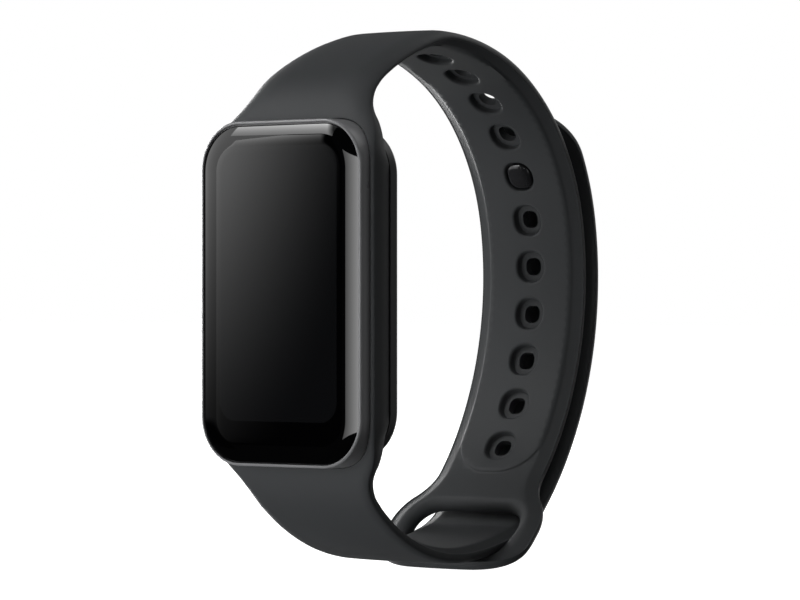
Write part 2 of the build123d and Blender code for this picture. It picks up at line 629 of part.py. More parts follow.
with BuildPart() as sensor_eyes:
    with BuildSketch(at_depth(SENSOR_PARTS_FRONT)):
        with Locations((0, SENSOR_WINDOW_Z)):
            with GridLocations(6.6, 0, 2, 1):
                RectangleRounded(2.4, 3.0, 0.2)
    extrude(amount=LIGHT_T)
finish(sensor_eyes.part, "sensor_eyes")

with BuildPart() as light_baffle:
    with BuildSketch(at_depth(SENSOR_PARTS_FRONT)):
        with Locations((0, SENSOR_WINDOW_Z)):
            RectangleRounded(3.4, 6.4, 0.6)
            RectangleRounded(2.4, 5.4, 0.4, mode=Mode.SUBTRACT)
    extrude(amount=LIGHT_T + 0.1)
finish(light_baffle.part, "light_baffle")
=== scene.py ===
"""Looks of the fitness tracker band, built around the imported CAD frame. Lengths are millimetres until MM."""
import json
from math import cos, pi, radians, sin, tan

import bpy
import numpy as np
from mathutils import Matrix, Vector
from mathutils.geometry import delaunay_2d_cdt


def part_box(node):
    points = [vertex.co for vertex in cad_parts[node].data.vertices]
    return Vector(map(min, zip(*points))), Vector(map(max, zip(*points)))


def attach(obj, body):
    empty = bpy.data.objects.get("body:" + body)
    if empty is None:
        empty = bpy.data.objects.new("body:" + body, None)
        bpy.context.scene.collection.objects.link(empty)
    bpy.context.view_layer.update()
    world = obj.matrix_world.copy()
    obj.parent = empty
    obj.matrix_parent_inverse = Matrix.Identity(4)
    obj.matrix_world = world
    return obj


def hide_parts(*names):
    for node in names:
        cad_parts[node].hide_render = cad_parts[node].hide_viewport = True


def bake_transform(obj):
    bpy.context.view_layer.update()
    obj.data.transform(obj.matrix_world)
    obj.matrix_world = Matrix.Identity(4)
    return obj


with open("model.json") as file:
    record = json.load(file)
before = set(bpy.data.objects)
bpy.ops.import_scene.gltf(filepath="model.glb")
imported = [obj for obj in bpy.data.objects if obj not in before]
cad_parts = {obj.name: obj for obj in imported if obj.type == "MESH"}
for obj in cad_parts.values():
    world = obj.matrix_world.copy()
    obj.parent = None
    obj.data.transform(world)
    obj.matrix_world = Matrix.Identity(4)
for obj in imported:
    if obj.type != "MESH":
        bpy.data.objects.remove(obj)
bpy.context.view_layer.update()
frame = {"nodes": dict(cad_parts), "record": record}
MM = 0.001
FACE_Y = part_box("cover_glass")[0][1] / MM            # front plane of the glass

# ---------------------------------------------------------------- sizes of the strap
# the CAD's, but for a crest 0.03 mm wider on each side and a slot that is 0.2 mm smaller and rounder
BODY_W, BODY_H, BODY_R = 25.4, 42.8, 6.0
FRAME_HALF = 13.4
FRAME_FRONT, FRAME_BACK = 2.05, 5.3
FRAME_CLEARANCE = 0.1
ARM_T, TAIL_T, TAIL_GAP = 2.1, 2.2, 0.7
CREST_HALF, ARM_HALF, LOOP_HALF = 8.93, 8.3, 12.0
SHOULDER_Z, SHOULDER_TURN, SHOULDER_OUT_R, SHOULDER_IN_R = 15.5, radians(38), 11.0, 8.0
ROOT_Y, ROOT_Z, ROOT_HEADING, ROOT_LENGTH = 2.1, 17.45, 67.0, 4.85
MIDDLE_R, BACK_R = 28.4, 41.5       # of the outer face along the perforated arm's last two bends
LINE = None                         # in place of a radius: a straight piece
# radius and angle of each arc, or LINE and length of each straight piece
ARM_PIECES = [(13.5, 37), (46, 17), (11, 15), (35.2, 24.5), (MIDDLE_R, 53.5), (BACK_R, 53.5), (LINE, 10.2),
              (6.6, 43.3), (LINE, 0.9)]
TAIL_SHIFT = TAIL_GAP + TAIL_T
# arc and straight piece that bring the lower strap into line with its tail, as in the CAD
JOIN_R, JOIN_TURN, JOIN_LINE = 11.515, 30.5, 1.345
TAIL_END_TURN = 31.31               # how far round the middle bend the tail's tip reaches
LOWER_PIECES = [(14.4, 26), (29.7, 45), (52.6, 12), (JOIN_R, JOIN_TURN), (LINE, JOIN_LINE),
                (BACK_R + TAIL_SHIFT, 53.5), (MIDDLE_R + TAIL_SHIFT, TAIL_END_TURN)]
HOLE_COUNT, HOLE_PITCH, LAST_HOLE_TO_STRAIGHT = 11, 6.6, 6.6
HOLE_HALF, HOLE_R = 1.2, 0.95
STUD_HOLE = 4
SLOT_START, SLOT_END, SLOT_HALF, SLOT_R = 3.6, 12.1, 8.5, 3.3
TIP_R = 7.6

# sizes of the finer shape
ROOT_BEND_R = 8.0                   # rounds the outer face where the arm leaves the frame
STEP = 0.75                         # spacing of the mesh's inner points
PANEL_HALF = 6.5                    # raised flat panel along the arm's inner face
PANEL_STEP = 0.16
PANEL_R = 5.8
PANEL_PAST_HOLE = 4.35              # from the last hole's centre to the panel's round end
RIDGE = 1.35                        # depth of the strap's widest line


def ease(value, low, high):
    """0 below low, 1 above high, smooth between."""
    t = np.clip((np.asarray(value, float) - low) / (high - low), 0, 1)
    return t * t * (3 - 2 * t)


def mix(a, b, share):
    return a + (b - a) * share


# ---------------------------------------------------------------- side profile of the strap
class Path:
    """Outer face of a strap from the tracker's middle: straight pieces and arcs, up (1) or down (-1)."""

    def __init__(self, way, pieces):
        self.way = way
        bend = radians(90 - ROOT_HEADING)
        corner_z = ROOT_Z - (ROOT_Y - FRAME_FRONT) * tan(radians(ROOT_HEADING))
        cut = ROOT_BEND_R * tan(bend / 2)
        root = ROOT_LENGTH + (ROOT_Y - FRAME_FRONT) / cos(radians(ROOT_HEADING)) - cut
        self.pieces = []
        self.length = 0.0
        y, z, heading = FRAME_FRONT, 0.0, pi / 2
        head = [(LINE, corner_z - cut), (ROOT_BEND_R, 90 - ROOT_HEADING), (LINE, root)]
        for radius, size in head + pieces:
            reach = size if radius is LINE else radius * radians(size)
            self.pieces.append((self.length, y, z, heading, radius, reach))
            self.length += reach
            if radius is LINE:
                y += reach * cos(heading)
                z += reach * sin(heading)
            else:
                new = heading - radians(size)
                y += radius * (sin(heading) - sin(new))
                z += radius * (cos(new) - cos(heading))
                heading = new

    def start_of(self, index):
        """Distance at which the given piece of the list passed in begins."""
        return self.pieces[index + 3][0]

    def at(self, s):
        """Depth behind the glass, height and heading at distances s, as for the upper strap."""
        s = np.asarray(s, float)
        y, z, h = np.zeros_like(s), np.zeros_like(s), np.zeros_like(s)
        for start, y0, z0, h0, radius, reach in self.pieces:
            here = s >= start - 1e-9
            t = s[here] - start
            if radius is LINE:
                y[here], z[here], h[here] = y0 + t * cos(h0), z0 + t * sin(h0), h0
            else:
                new = h0 - t / radius
                y[here] = y0 + radius * (sin(h0) - np.sin(new))
                z[here] = z0 + radius * (np.cos(new) - cos(h0))
                h[here] = new
        return y, z, h

    def place(self, x, s, depth):
        """Points in the row frame, in metres, at a depth inside the outer face."""
        y, z, h = self.at(s)
        y = FACE_Y + y + depth * np.sin(h)
        z = self.way * (z - depth * np.cos(h))
        return np.column_stack([x, y, z]) * MM


ARM = Path(1, ARM_PIECES)
LOWER = Path(-1, LOWER_PIECES)
STRAIGHT_S = ARM.start_of(6)
TAIL_LINE_S = LOWER.start_of(4)
HOLES = [STRAIGHT_S - LAST_HOLE_TO_STRAIGHT - HOLE_PITCH * k for k in reversed(range(HOLE_COUNT))]
CREST_Y = 19.0                      # depth at which the strap's crest is passed
NARROW_Y = 45.0


def half_width(path, s):
    """Half width of the strap: frame, shoulders, then a slight taper to the constant width."""
    y, z, _ = path.at(s)
    turn_out = SHOULDER_OUT_R * sin(SHOULDER_TURN)
    turn_in = SHOULDER_IN_R * sin(SHOULDER_TURN)
    mid_half = FRAME_HALF - SHOULDER_OUT_R * (1 - cos(SHOULDER_TURN))
    end_half = mid_half - SHOULDER_IN_R * (1 - cos(SHOULDER_TURN))
    end_z = SHOULDER_Z + turn_out + turn_in
    out = np.clip((z - SHOULDER_Z) / SHOULDER_OUT_R, 0, 1)
    half = FRAME_HALF - SHOULDER_OUT_R * (1 - np.sqrt(1 - out ** 2))
    back = np.clip((end_z - z) / SHOULDER_IN_R, 0, 1)
    half = np.where(z > SHOULDER_Z + turn_out, end_half + SHOULDER_IN_R * (1 - np.sqrt(1 - back ** 2)), half)
    half = np.where(z > end_z, end_half - (end_half - CREST_HALF) * ease(z, end_z - 2, 34), half)
    behind = CREST_HALF - (CREST_HALF - ARM_HALF) * ease(y, CREST_Y - 4, NARROW_Y)
    return np.where(y > CREST_Y, behind, np.minimum(half, FRAME_HALF))


LOOP_GROW_START, LOOP_GROW_END = -2.4, 7.0          # along the straight piece
LOOP_CORNER = 7.5
LOOP_REACH = ARM.length - STRAIGHT_S


def band_half(v):
    """Half width at v, the distance along the band: up the arm if positive, down the lower arm if not."""
    v = np.asarray(v, float)
    half = np.where(v >= 0, half_width(ARM, np.maximum(v, 0)), half_width(LOWER, np.maximum(-v, 0)))
    u = v - STRAIGHT_S
    run = (LOOP_GROW_END - LOOP_GROW_START) / 2
    grow = (LOOP_HALF - ARM_HALF) / 2
    radius = (run ** 2 + grow ** 2) / (2 * grow)
    first = np.clip(u - LOOP_GROW_START, 0, run)
    last = np.clip(LOOP_GROW_END - u, 0, run)
    wide = np.where(u < LOOP_GROW_START + run, ARM_HALF + radius - np.sqrt(radius ** 2 - first ** 2),
                    LOOP_HALF - radius + np.sqrt(radius ** 2 - last ** 2))
    into = np.clip(u - (LOOP_REACH - LOOP_CORNER), 0, LOOP_CORNER)
    corner = LOOP_HALF - LOOP_CORNER + np.sqrt(LOOP_CORNER ** 2 - into ** 2)
    wide = np.where(into > 0, corner, wide)
    return np.where(u > LOOP_GROW_START, wide, half)


# ---------------------------------------------------------------- flat domain to strap mesh
def box_distance(x, v, half_x, half_v, r):
    """Signed distance to a rounded rectangle round the origin, negative inside."""
    qx, qv = np.abs(x) - (half_x - r), np.abs(v) - (half_v - r)
    outside = np.hypot(np.maximum(qx, 0), np.maximum(qv, 0))
    return outside + np.minimum(np.maximum(qx, qv), 0) - r


def box_loop(half_x, half_v, r, spacing, arc_count):
    """Points round a rounded rectangle, anticlockwise, evenly along each side and corner."""
    points = []
    for corner, (sx, sv) in enumerate([(1, 1), (-1, 1), (-1, -1), (1, -1)]):
        cx, cv = sx * (half_x - r), sv * (half_v - r)
        start = corner * pi / 2
        for a in np.linspace(start, start + pi / 2, arc_count, endpoint=False):
            points.append((cx + r * cos(a), cv + r * sin(a)))
        x0, v0 = cx + r * cos(start + pi / 2), cv + r * sin(start + pi / 2)
        nx, nv = [(-1, 1), (-1, -1), (1, -1), (1, 1)][corner]
        x1, v1 = nx * (half_x - r), nv * (half_v - r)
        x1, v1 = (x1, v0) if corner % 2 == 0 else (x0, v1)
        length = abs(x1 - x0) + abs(v1 - v0)
        count = max(1, int(round(length / spacing)))
        for k in range(count):
            points.append((x0 + (x1 - x0) * k / count, v0 + (v1 - v0) * k / count))
    return np.array(points)


def distance_to(line, points):
    """Shortest distance from each point to an open line of short straight pieces."""
    a, b = line[:-1], line[1:]
    run = b - a
    square = (run ** 2).sum(1)
    best = np.full(len(points), 1e9)
    for i in range(0, len(points), 2000):
        p = points[i:i + 2000]
        t = np.clip(((p[:, None] - a) * run).sum(2) / square, 0, 1)
        gap = p[:, None] - (a + t[..., None] * run)
        best[i:i + 2000] = np.sqrt((gap ** 2).sum(2).min(1))
    return best


def inward_offsets(line, offsets):
    """Copies of an open line that runs anticlockwise round its shape, moved inwards by each offset."""
    along = np.gradient(line, axis=0)
    along /= np.linalg.norm(along, axis=1)[:, None]
    normal = np.column_stack([-along[:, 1], along[:, 0]])
    return [line + normal * o for o in offsets]


def plate(name, points, edges, keep, place, outer, inner, cuts):
    """Closed solid of a curved strap: a triangulated flat domain, mapped to its outer and inner face."""
    flat = [Vector((float(x), float(v))) for x, v in points]
    verts, _, tris, _, _, _ = delaunay_2d_cdt(flat, edges, [], 0, 1e-5, False)
    p = np.array([(q.x, q.y) for q in verts])
    t = np.array(tris)
    middle = p[t].mean(1)
    t = t[keep(middle[:, 0], middle[:, 1])]
    ab, ac = p[t[:, 1]] - p[t[:, 0]], p[t[:, 2]] - p[t[:, 0]]
    area = ab[:, 0] * ac[:, 1] - ab[:, 1] * ac[:, 0]
    t = t[np.abs(area) > 1e-6]
    area = area[np.abs(area) > 1e-6]
    t[area < 0] = t[area < 0][:, ::-1]
    used = np.unique(t)
    index = np.full(len(p), -1)
    index[used] = np.arange(len(used))
    p, t = p[used], index[t]
    n = len(p)
    top = place(p[:, 0], p[:, 1], outer(p[:, 0], p[:, 1]))
    low = place(p[:, 0], p[:, 1], inner(p[:, 0], p[:, 1]))
    sides = np.concatenate([t[:, [0, 1]], t[:, [1, 2]], t[:, [2, 0]]])
    key = np.sort(sides, axis=1)
    _, first, count = np.unique(key[:, 0] * n + key[:, 1], return_index=True, return_counts=True)
    rim = sides[first[count == 1]]
    faces = [tuple(f) for f in t.tolist()] + [tuple(f) for f in (t[:, ::-1] + n).tolist()]
    faces += [(b, a, a + n, b + n) for a, b in rim.tolist()]
    mesh = bpy.data.meshes.new(name)
    mesh.from_pydata(np.concatenate([top, low]).tolist(), [], faces)
    mesh.validate()
    mesh.update()
    smooth(mesh, 38)
    on_cut = np.zeros(2 * n, bool)
    for v in cuts:
        on_cut |= np.tile(np.abs(p[:, 1] - v) < 1e-4, 2)
    ends = np.zeros(len(mesh.edges) * 2, int)
    mesh.edges.foreach_get("vertices", ends)
    ends = ends.reshape(-1, 2)
    sharp = np.zeros(len(mesh.edges), bool)
    mesh.attributes["sharp_edge"].data.foreach_get("value", sharp)
    sharp |= on_cut[ends].all(1) & (ends[:, 0] // n == ends[:, 1] // n)
    mesh.attributes["sharp_edge"].data.foreach_set("value", sharp)
    piece = bpy.data.objects.new(name, mesh)
    bpy.context.scene.collection.objects.link(piece)
    return piece


def smooth(mesh, angle):
    """Shade smooth, with a sharp edge wherever two faces meet at more than the angle."""
    mesh.shade_smooth()
    normals = np.zeros(len(mesh.polygons) * 3)
    mesh.polygons.foreach_get("normal", normals)
    normals = normals.reshape(-1, 3)
    edge_of = np.zeros(len(mesh.loops), int)
    mesh.loops.foreach_get("edge_index", edge_of)
    totals = np.zeros(len(mesh.polygons), int)
    mesh.polygons.foreach_get("loop_total", totals)
    face_of = np.repeat(np.arange(len(mesh.polygons)), totals)
    order = np.argsort(edge_of, kind="stable")
    edge, face = edge_of[order], face_of[order]
    pair = np.nonzero(edge[:-1] == edge[1:])[0]
    turn = (normals[face[pair]] * normals[face[pair + 1]]).sum(1)
    sharp = np.zeros(len(mesh.edges), bool)
    sharp[edge[pair[turn < cos(radians(angle))]]] = True
    mark = mesh.attributes.get("sharp_edge") or mesh.attributes.new("sharp_edge", "BOOLEAN", "EDGE")
    mark.data.foreach_set("value", sharp)


def ellipse_drop(distance, wide, deep):
    """How far a rounded edge falls away: deep at the edge, nothing from wide on."""
    t = np.clip(1 - distance / wide, 0, 1)
    return deep * (1 - np.sqrt(1 - t * t))


def grid(v0, v1, half):
    """Staggered inner points between two distances."""
    rows = np.arange(v0 + STEP, v1 - STEP / 2, STEP)
    count = int(half / STEP)
    points = []
    for i, v in enumerate(rows):
        shift = STEP / 2 * (i % 2)
        xs = (np.arange(-count, count + 1)) * STEP + shift
        points.append(np.column_stack([xs, np.full(len(xs), v)]))
    return np.concatenate(points)


def chain(start, count, closed):
    """Index pairs that join points in a row."""
    pairs = [(start + i, start + i + 1) for i in range(count - 1)]
    return pairs + [(start + count - 1, start)] if closed else pairs


# ---------------------------------------------------------------- the band: frame, perforated arm, loop
BAND_CUT_S = TAIL_LINE_S - 5.0      # where the lower arm's own piece ends, inside the loop
EDGE_OFFSETS = [0.04, 0.12, 0.22, 0.35, 0.52, 0.72, 0.95, 1.2, 1.45, 1.65, 1.9]
HOLE_OFFSETS = [0.05, 0.12, 0.2, 0.45, 0.78, 0.86, 0.92, 0.96, 1.01, 1.06, 1.12, 1.2, 1.31, 1.55]
OPENING_OFFSETS = [0.04, 0.09, 0.15, 0.3, 0.5, 0.8, 1.2]
SLOT_OFFSETS = [0.05, 0.15, 0.28, 0.45, 0.65, 0.9, 1.2, 1.55]
OPENING_X, OPENING_Z = BODY_W / 2 + FRAME_CLEARANCE, BODY_H / 2 + FRAME_CLEARANCE
OPENING_R = BODY_R + FRAME_CLEARANCE
SLOT_MIDDLE, SLOT_LONG = STRAIGHT_S + (SLOT_START + SLOT_END) / 2, (SLOT_END - SLOT_START) / 2


def band_at(v):
    """Depth behind the glass, height above or below the middle, for any place on the band."""
    y, z, _ = ARM.at(np.maximum(v, 0))
    y2, z2, _ = LOWER.at(np.maximum(-v, 0))
    return np.where(v >= 0, y, y2), np.where(v >= 0, z, z2)


def band_place(x, v, depth):
    up = v >= 0
    points = np.zeros((len(x), 3))
    points[up] = ARM.place(x[up], v[up], depth[up])
    points[~up] = LOWER.place(x[~up], -v[~up], depth[~up])
    return points


def opening_distance(x, v):
    y, z = band_at(v)
    return np.where(y < CREST_Y, box_distance(x, z, OPENING_X, OPENING_Z, OPENING_R), 99)


def slot_distance(x, v):
    return box_distance(x, v - SLOT_MIDDLE, SLOT_HALF, SLOT_LONG, SLOT_R)


def hole_distance(x, v):
    best = np.full(np.shape(v), 99.0)
    for s in HOLES:
        best = np.minimum(best, box_distance(x, v - s, HOLE_HALF, HOLE_HALF, HOLE_R))
    return best


side_v = np.concatenate([np.arange(-BAND_CUT_S, 0, 0.5), np.arange(0, ARM.length - LOOP_CORNER, 0.5)])
side = np.column_stack([band_half(side_v), side_v])
corner_turn = np.linspace(0, pi / 2, 20)
corner_line = np.column_stack([LOOP_HALF - LOOP_CORNER + LOOP_CORNER * np.cos(corner_turn),
                               ARM.length - LOOP_CORNER + LOOP_CORNER * np.sin(corner_turn)])
end_x = np.arange(LOOP_HALF - LOOP_CORNER - 0.5, 0.2, -0.5)
end_line = np.column_stack([end_x, np.full(len(end_x), ARM.length)])
right = np.concatenate([side, corner_line, end_line])
BAND_LINE = np.concatenate([right, (right * (-1, 1))[::-1]])


def band_edge(x, v):
    return distance_to(BAND_LINE, np.column_stack([x, v]))


def arm_share(v):
    """0 on the frame round the tracker, 1 on the arms."""
    y, z = band_at(v)
    return np.where(y < CREST_Y, ease(z, 15.5, 26), 1.0)


def band_rounding(v):
    """Width and depth of the outer face's rounded edge."""
    y, z = band_at(v)
    share = arm_share(v)
    back = ease(y, CREST_Y, 40)
    up = v >= 0
    wide = mix(mix(0.5, np.where(up, 4.0, 1.4), share), 1.2, back)
    deep = mix(mix(0.35, np.where(up, 1.0, 0.45), share), RIDGE, back)
    return wide, deep


def band_outer(x, v):
    edge, share = band_edge(x, v), arm_share(v)
    drop = ellipse_drop(edge, *band_rounding(v))
    crown = 0.12 * (x / ARM_HALF) ** 2 * share
    drop = np.maximum(drop, ellipse_drop(opening_distance(x, v), 0.15, 0.12))
    drop = np.maximum(drop, ellipse_drop(slot_distance(x, v), 0.4, 0.3))
    return np.maximum(drop + np.minimum(crown, 0.2), ellipse_drop(hole_distance(x, v), 0.2, 0.18))


PANEL_START = HOLES[0] - 14
PANEL_END = HOLES[-1] + PANEL_PAST_HOLE
PANEL_OUT = ARM_HALF - PANEL_HALF
# thickness left at the edge of the band's front, against height above or below the middle
EDGE_THICKNESS = ([16, 19.6, 22.3, 23.9, 26.2], [3.0, 2.2, 1.8, 1.45, 1.2])


def panel_distance(x, v):
    middle, long = (PANEL_START + PANEL_END) / 2, (PANEL_END - PANEL_START) / 2
    return box_distance(x, v - middle, PANEL_HALF, long, PANEL_R)


def band_inner(x, v):
    edge, share = band_edge(x, v), arm_share(v)
    y, z = band_at(v)
    thick = np.where(v >= 0, ARM_T, TAIL_T)
    front = y < CREST_Y
    thick = np.where(front, mix(FRAME_BACK - FRAME_FRONT, thick, ease(z, 16, 23)), thick)
    behind = mix(EDGE_THICKNESS[1][-1], RIDGE, ease(y, CREST_Y, 40))
    rim = np.where(front, np.interp(z, *EDGE_THICKNESS), behind)
    rounding = np.interp(edge, [0, 0.04, 0.12], [0, 0.07, 0.1])
    bevel = mix(0.35, PANEL_OUT, share)
    slope = np.clip((edge - 0.2) / (bevel - 0.2), 0, 1)
    depth = rim + rounding + np.maximum(thick - rim - 0.1, 0) * slope
    outside = ease(panel_distance(x, v), 0, 0.22) * share
    depth -= PANEL_STEP * outside * slope
    lip = mix(1.2, 0.35, ease(v, SLOT_MIDDLE - 1, SLOT_MIDDLE + 2))
    depth -= ellipse_drop(slot_distance(x, v), 1.5, 1.0) * lip
    depth -= ellipse_drop(opening_distance(x, v), 0.15, 0.12)
    out = hole_distance(x, v)
    recess = np.interp(out, [0.78, 0.86, 0.96, 1.01, 1.06, 1.12, 1.2, 1.31],
                       [0.8, 0.72, 0.26, 0.15, 0.09, 0.05, 0.02, 0.0])
    return depth - recess


def build_band():
    loops = []
    edges = []
    total = 0

    def put(line, closed, mark):
        nonlocal total
        loops.append(line)
        if mark:
            edges.extend(chain(total, len(line), closed))
        total += len(line)

    put(BAND_LINE, False, True)
    table_s = np.linspace(0, 60, 6001)
    table_z = ARM.at(table_s)[1]
    rising = table_s[:np.argmax(table_z)]
    table_z = table_z[:len(rising)]

    def opening_loop(offset):
        loop = box_loop(OPENING_X + offset, OPENING_Z + offset, OPENING_R + offset, 0.5, 22)
        along = np.interp(np.abs(loop[:, 1]), table_z, rising)
        return np.column_stack([loop[:, 0], np.sign(loop[:, 1]) * along])

    put(opening_loop(0), True, True)
    slot = box_loop(SLOT_HALF, SLOT_LONG, SLOT_R, 0.5, 10) + (0, SLOT_MIDDLE)
    put(slot, True, True)
    for s in HOLES:
        put(box_loop(HOLE_HALF, HOLE_HALF, HOLE_R, 0.25, 8) + (0, s), True, True)
        for o in HOLE_OFFSETS:
            line = box_loop(HOLE_HALF + o, HOLE_HALF + o, HOLE_R + o, 0.25, 8) + (0, s)
            put(line, True, o in (0.86, 0.96))
    cut_half = float(band_half(np.array([-BAND_CUT_S]))[0])
    cut = cut_row(cut_half)
    put(np.column_stack([cut, np.full(len(cut), -BAND_CUT_S)]), False, False)
    soft = []
    for o, line in zip(EDGE_OFFSETS, inward_offsets(BAND_LINE, EDGE_OFFSETS)):
        far = band_edge(line[:, 0], line[:, 1])
        ok = (far > o - 0.02) & (opening_distance(*line.T) > np.minimum(o, 0.3))
        ok &= (line[:, 1] > -BAND_CUT_S + 0.3) & (slot_distance(*line.T) > 0.3)
        soft.append(line[ok])
    for o in OPENING_OFFSETS:
        line = opening_loop(o)
        soft.append(line[band_edge(*line.T) > max(o, 0.05)])
    for o in SLOT_OFFSETS:
        line = box_loop(SLOT_HALF + o, SLOT_LONG + o, SLOT_R + o, 0.5, 10) + (0, SLOT_MIDDLE)
        soft.append(line[band_edge(*line.T) > max(o * 0.8, 0.3)])
    for o in (0.0, 0.07, 0.15, 0.22):
        for end, way in ((PANEL_START, -1), (PANEL_END, 1)):
            loop = box_loop(PANEL_HALF + o, PANEL_R + o, PANEL_R + o, 0.5, 24)
            line = loop * (1, way) + (0, end - way * PANEL_R)
            line = line[way * (line[:, 1] - end) > -PANEL_R]
            soft.append(line[(band_edge(*line.T) > 2.0) & (hole_distance(*line.T) > 1.5)])
    inner = grid(-BAND_CUT_S, ARM.length, FRAME_HALF)
    ok = np.abs(inner[:, 0]) < band_half(inner[:, 1])
    inner = inner[ok]
    ok = (band_edge(*inner.T) > 2.15) & (opening_distance(*inner.T) > 1.5) & (slot_distance(*inner.T) > 1.8)
    ok &= (hole_distance(*inner.T) > 1.75) & (np.abs(panel_distance(*inner.T)) > 0.3)
    soft.append(inner[ok])
    points = np.concatenate(loops + soft)

    def keep(x, v):
        inside = (np.abs(x) < band_half(v)) & (v > -BAND_CUT_S)
        return inside & (opening_distance(x, v) > 0) & (slot_distance(x, v) > 0) & (hole_distance(x, v) > 0)

    return plate("strap_band", points, edges, keep, band_place, band_outer, band_inner, [-BAND_CUT_S])


def cut_row(half):
    """Places across the strap, dense near its edges."""
    near = half - np.array([0.04, 0.12, 0.22, 0.35, 0.52, 0.72, 0.95, 1.2, 1.45, 1.65, 1.9, 2.3])
    middle = np.linspace(-near[-1] + STEP, near[-1] - STEP, 15)
    return np.concatenate([-near, middle, near[::-1]])


# ---------------------------------------------------------------- the tail: two curved pieces
def tail_piece(name, s0, s1, tip):
    """Part of the lower arm's far end between two distances, with a round tip if tip is true."""
    def half_at(s):
        half = half_width(LOWER, s)
        if not tip:
            return half
        into = np.clip(s - (s1 - TIP_R), 0, TIP_R)
        return np.where(into > 0, ARM_HALF - TIP_R + np.sqrt(TIP_R ** 2 - into ** 2), half)

    last = s1 - TIP_R if tip else s1
    sv = np.linspace(s0, last, int((last - s0) / 0.5) + 1)
    right_side = np.column_stack([half_at(sv), sv])
    if tip:
        turn = np.linspace(0, pi / 2, 26)[1:]
        centre_x, centre_s = ARM_HALF - TIP_R, s1 - TIP_R
        round_end = np.column_stack([centre_x + TIP_R * np.cos(turn), centre_s + TIP_R * np.sin(turn)])
        right_side = np.concatenate([right_side, round_end])
    left_side = (right_side * (-1, 1))[::-1]
    rails = [np.concatenate([right_side, left_side])] if tip else [right_side, left_side]

    def edge_of(x, s):
        p = np.column_stack([x, s])
        return np.minimum.reduce([distance_to(rail, p) for rail in rails])

    loops, edges, total = [], [], 0
    for rail in rails:
        loops.append(rail)
        edges += chain(total, len(rail), False)
        total += len(rail)
    for s in ([s0] if tip else [s0, s1]):
        xs = cut_row(float(half_at(np.array([s]))[0]))
        loops.append(np.column_stack([xs, np.full(len(xs), s)]))
    for rail in rails:
        for o, line in zip(EDGE_OFFSETS, inward_offsets(rail, EDGE_OFFSETS)):
            stop = s1 if tip else s1 - 0.3
            ok = (edge_of(*line.T) > o - 0.02) & (line[:, 1] > s0 + 0.3) & (line[:, 1] < stop)
            loops.append(line[ok])
    inner_points = grid(s0, s1, ARM_HALF + 1)
    inner_points = inner_points[np.abs(inner_points[:, 0]) < half_at(inner_points[:, 1])]
    loops.append(inner_points[edge_of(*inner_points.T) > 2.15])

    def keep(x, s):
        return (np.abs(x) < half_at(s)) & (s > s0) & (s < s1)

    def outer(x, s):
        return ellipse_drop(edge_of(x, s), 1.2, RIDGE) + 0.12 * (x / ARM_HALF) ** 2

    def inner(x, s):
        edge = edge_of(x, s)
        rounding = np.interp(edge, [0, 0.04, 0.12], [0, 0.07, 0.1])
        slope = np.clip((edge - 0.2) / (PANEL_OUT - 0.2), 0, 1)
        return RIDGE + rounding + (TAIL_T - PANEL_STEP - RIDGE - 0.1) * slope

    cuts = [s0] if tip else [s0, s1]
    return plate(name, np.concatenate(loops), edges, keep, LOWER.place, outer, inner, cuts)


TAIL_LIFT_S = TAIL_LINE_S
PEEL_BEFORE_END = 16.0              # from the peeling hinge to the bend's end, along the arm below the tail
MID_BEFORE_PEEL = 7.5               # from the join of the two tail pieces to the peeling hinge
TAIL_PEEL_S = LOWER.start_of(6) - PEEL_BEFORE_END * (BACK_R + TAIL_SHIFT) / BACK_R
TAIL_MID_S = TAIL_PEEL_S - MID_BEFORE_PEEL

band = build_band()
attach(band, "strap")
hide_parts("strap")
lower_tail = tail_piece("strap_tail_lower", BAND_CUT_S, TAIL_MID_S, False)
upper_tail = tail_piece("strap_tail_upper", TAIL_MID_S, LOWER.length, True)


def on_lower(s):
    return LOWER.place(np.zeros(1), np.array([s]), np.array([TAIL_T / 2]))[0].tolist()


on_lower(TAIL_LIFT_S - 4)
on_lower(TAIL_LIFT_S + 5)
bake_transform(lower_tail)
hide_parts("strap_tail")
on_lower(TAIL_PEEL_S - 5)
on_lower(TAIL_PEEL_S + 5)
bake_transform(upper_tail)
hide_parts("strap_tail_end")


# ---------------------------------------------------------------- cover glass with a curved edge, stud head
GLASS_X, GLASS_Z, GLASS_R, GLASS_T = 12.38, 20.93, 5.65, 0.8
GLASS_MIDDLE = -0.12                # its middle lies a little below the tracker's
GLASS_CURVE, GLASS_DROP = 2.6, 0.62  # width of the curved border and how far its edge lies back


def ringed(name, rings, depths, place, under):
    """Closed dome: rings of equal count from the rim to the middle, each at a depth, and a flat back."""
    count = len(rings[0])
    verts = [place(ring[:, 0], ring[:, 1], np.full(count, depth)) for ring, depth in zip(rings, depths)]
    verts.append(place(rings[0][:, 0], rings[0][:, 1], np.full(count, under)))
    verts.append(place(*np.zeros((2, 1)), np.full(1, depths[-1])))
    verts.append(place(*np.zeros((2, 1)), np.full(1, under)))
    total = len(rings)
    tip, base = count * (total + 1), count * (total + 1) + 1
    faces = []
    for k in range(count):
        n = (k + 1) % count
        for i in range(total - 1):
            faces.append((i * count + k, i * count + n, (i + 1) * count + n, (i + 1) * count + k))
        faces.append(((total - 1) * count + k, (total - 1) * count + n, tip))
        faces.append((total * count + n, total * count + k, base))
        faces.append((n, k, total * count + k, total * count + n))
    mesh = bpy.data.meshes.new(name)
    mesh.from_pydata(np.concatenate(verts).tolist(), [], faces)
    mesh.validate()
    mesh.update()
    smooth(mesh, 45)
    piece = bpy.data.objects.new(name, mesh)
    bpy.context.scene.collection.objects.link(piece)
    return piece


